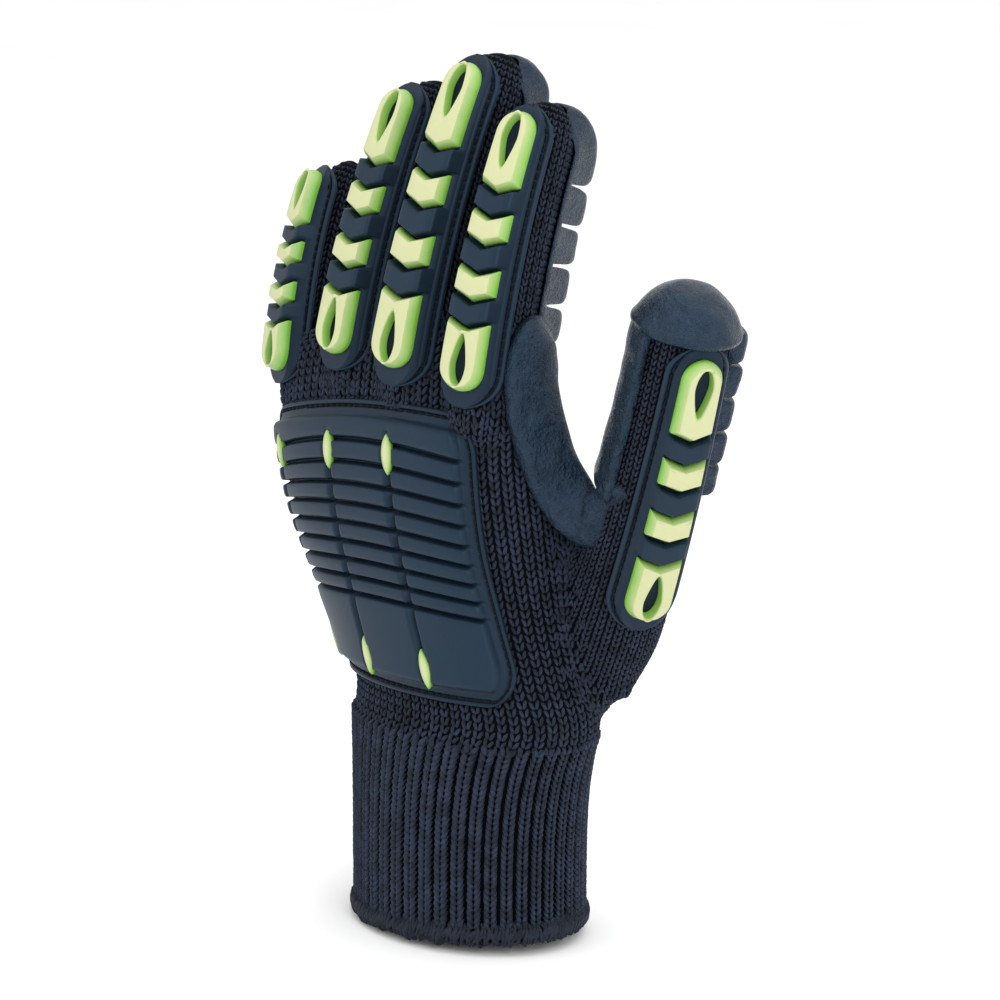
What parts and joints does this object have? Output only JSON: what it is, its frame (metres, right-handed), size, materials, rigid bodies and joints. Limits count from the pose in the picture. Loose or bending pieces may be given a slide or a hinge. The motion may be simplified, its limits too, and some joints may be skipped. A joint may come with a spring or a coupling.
{
  "type": "anti vibration work glove",
  "caption": "Left work glove, held in its worn shape: knitted shell and ribbed cuff, rubber impact strips and plate on the back, padded coated palm side, hollow and open at the wrist.",
  "frame": {"origin": "centre of the cuff's open mouth, where the wrist goes in", "axes": "+Z from the cuff's mouth to the fingertips, -Y out of the back of the hand, +Y out of the palm, +X towards the thumb"},
  "size_m": [0.161, 0.0639, 0.2516],
  "materials": {
    "knit": "matte heavy knit",
    "rubber": "satin moulded rubber",
    "lime": "satin moulded rubber",
    "coating": "grainy dipped coating over foam"
  },
  "bodies": {
    "root": {"knit_hand": "knit", "knit_stall_index": "knit", "knit_stall_middle": "knit", "knit_stall_ring": "knit", "knit_stall_little": "knit", "knit_stall_thumb": "knit", "ribbed_cuff": "knit", "cuff_hem": "knit", "strip_base_index": "rubber", "lime_heel_index": "lime", "lime_chevron_1_index": "lime", "lime_chevron_2_index": "lime", "lime_tip_index": "lime", "strip_base_middle": "rubber", "lime_heel_middle": "lime", "lime_chevron_1_middle": "lime", "lime_chevron_2_middle": "lime", "lime_tip_middle": "lime", "strip_base_ring": "rubber", "lime_heel_ring": "lime", "lime_chevron_1_ring": "lime", "lime_chevron_2_ring": "lime", "lime_tip_ring": "lime", "strip_base_little": "rubber", "lime_heel_little": "lime", "lime_chevron_1_little": "lime", "lime_chevron_2_little": "lime", "lime_tip_little": "lime", "strip_base_thumb": "rubber", "lime_heel_thumb": "lime", "lime_chevron_1_thumb": "lime", "lime_chevron_2_thumb": "lime", "lime_tip_thumb": "lime", "back_plate": "rubber", "lime_insert_1": "lime", "lime_insert_2": "lime", "lime_insert_3": "lime", "lime_insert_4": "lime", "lime_insert_5": "lime", "lime_insert_6": "lime", "palm_pads": "coating", "finger_pads_index": "coating", "finger_pads_middle": "coating", "finger_pads_ring": "coating", "finger_pads_little": "coating", "finger_pads_thumb": "coating", "thumb_cap": "coating", "crotch_patch": "coating"}
  },
  "joints": []
}
